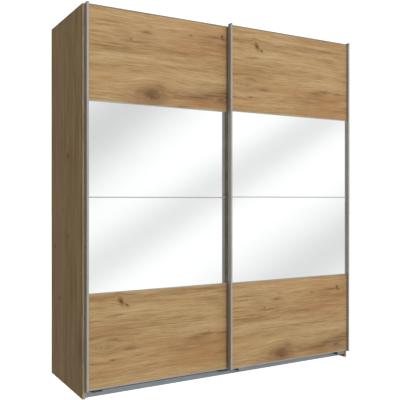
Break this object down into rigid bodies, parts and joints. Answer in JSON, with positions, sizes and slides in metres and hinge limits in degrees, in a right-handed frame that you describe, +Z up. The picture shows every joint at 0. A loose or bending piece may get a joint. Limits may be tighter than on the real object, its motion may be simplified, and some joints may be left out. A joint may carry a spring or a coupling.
{
  "type": "sliding door wardrobe",
  "caption": "Tall wardrobe with sliding doors of horizontal oak-decor and mirror fields between aluminium stiles, over a partitioned interior with shelves and clothes rails.",
  "frame": {"origin": "on the floor, in the middle of the wardrobe's width and depth", "axes": "+Z up, +X to the right when facing the doors, -Y towards the front (the doors), +Y towards the back"},
  "size_m": [1.7, 0.6, 1.95],
  "materials": {
    "oak_side": "matt oak decor, grain upright",
    "oak_carcass": "matt oak decor",
    "oak_door": "matt oak decor with knots, grain along the door's width",
    "back_sheet": "thin hardboard with a pale paper face",
    "joiner_plastic": "white plastic H strip",
    "mirror_glass": "silvered glass",
    "mirror_backing": "raw hardboard",
    "door_aluminium": "fine brushed, satin anodised",
    "track_aluminium": "extruded, matt",
    "zinc_steel": "zinc-plated sheet",
    "chrome_tube": "polished",
    "roller_plastic": "hard grey nylon",
    "guide_plastic": "hard grey nylon",
    "black_plastic": "black, satin"
  },
  "bodies": {
    "carcass": {"back_joiner_strip": "joiner_plastic", "bottom_panel": "oak_carcass", "bottom_track": "track_aluminium", "centre_partition": "oak_carcass", "front_track_left_stop": "black_plastic", "front_track_right_stop": "black_plastic", "left_back_sheet": "back_sheet", "left_clothes_rail": "chrome_tube", "left_hat_shelf": "oak_carcass", "left_rail_left_socket": "black_plastic", "left_rail_right_socket": "black_plastic", "left_side_panel": "oak_side", "rear_track_left_stop": "black_plastic", "rear_track_right_stop": "black_plastic", "right_back_sheet": "back_sheet", "right_clothes_rail": "chrome_tube", "right_hat_shelf": "oak_carcass", "right_rail_left_socket": "black_plastic", "right_rail_right_socket": "black_plastic", "right_side_panel": "oak_side", "top_panel": "oak_carcass", "top_track": "track_aluminium"},
    "left_door": {"left_door_bottom_panel": "oak_door", "left_door_bottom_rail": "door_aluminium", "left_door_inner_guide": "black_plastic", "left_door_inner_hanger": "zinc_steel", "left_door_inner_stile": "door_aluminium", "left_door_lower_cross_bar": "door_aluminium", "left_door_lower_mirror": "mirror_glass", "left_door_lower_mirror_backing": "mirror_backing", "left_door_middle_cross_bar": "door_aluminium", "left_door_outer_guide": "black_plastic", "left_door_outer_hanger": "zinc_steel", "left_door_outer_stile": "door_aluminium", "left_door_top_panel": "oak_door", "left_door_top_rail": "door_aluminium", "left_door_upper_cross_bar": "door_aluminium", "left_door_upper_mirror": "mirror_glass", "left_door_upper_mirror_backing": "mirror_backing"},
    "right_door": {"right_door_bottom_panel": "oak_door", "right_door_bottom_rail": "door_aluminium", "right_door_inner_guide": "guide_plastic", "right_door_inner_hanger": "zinc_steel", "right_door_inner_stile": "door_aluminium", "right_door_lower_cross_bar": "door_aluminium", "right_door_lower_mirror": "mirror_glass", "right_door_lower_mirror_backing": "mirror_backing", "right_door_middle_cross_bar": "door_aluminium", "right_door_outer_guide": "guide_plastic", "right_door_outer_hanger": "zinc_steel", "right_door_outer_stile": "door_aluminium", "right_door_top_panel": "oak_door", "right_door_top_rail": "door_aluminium", "right_door_upper_cross_bar": "door_aluminium", "right_door_upper_mirror": "mirror_glass", "right_door_upper_mirror_backing": "mirror_backing"},
    "left_door_inner_wheel_body": {"left_door_inner_wheel": "roller_plastic"},
    "left_door_outer_wheel_body": {"left_door_outer_wheel": "roller_plastic"},
    "right_door_inner_wheel_body": {"right_door_inner_wheel": "roller_plastic"},
    "right_door_outer_wheel_body": {"right_door_outer_wheel": "roller_plastic"}
  },
  "joints": [
    {"name": "left_door_slide", "type": "slide", "parent": "carcass", "child": "left_door", "axis": [1, 0, 0], "range_m": [0, 0.797]},
    {"name": "left_door_outer_wheel_turn", "type": "hinge", "parent": "left_door", "child": "left_door_outer_wheel_body", "pos_m": [-0.769, -0.226, 1.934], "axis": [0, 1, 0], "range_deg": [0, 4568]},
    {"name": "left_door_inner_wheel_turn", "type": "hinge", "parent": "left_door", "child": "left_door_inner_wheel_body", "pos_m": [-0.036, -0.226, 1.934], "axis": [0, 1, 0], "range_deg": [0, 4568]},
    {"name": "right_door_slide", "type": "slide", "parent": "carcass", "child": "right_door", "axis": [1, 0, 0], "range_m": [-0.803, 0]},
    {"name": "right_door_inner_wheel_turn", "type": "hinge", "parent": "right_door", "child": "right_door_inner_wheel_body", "pos_m": [0.042, -0.204, 1.934], "axis": [0, 1, 0], "range_deg": [-4602, 0]},
    {"name": "right_door_outer_wheel_turn", "type": "hinge", "parent": "right_door", "child": "right_door_outer_wheel_body", "pos_m": [0.775, -0.204, 1.934], "axis": [0, 1, 0], "range_deg": [-4602, 0]}
  ],
  "couplings": [
    {"joint": "left_door_outer_wheel_turn", "follows": "left_door_slide", "rad_per_m": 100},
    {"joint": "left_door_inner_wheel_turn", "follows": "left_door_slide", "rad_per_m": 100},
    {"joint": "right_door_inner_wheel_turn", "follows": "right_door_slide", "rad_per_m": 100},
    {"joint": "right_door_outer_wheel_turn", "follows": "right_door_slide", "rad_per_m": 100}
  ]
}
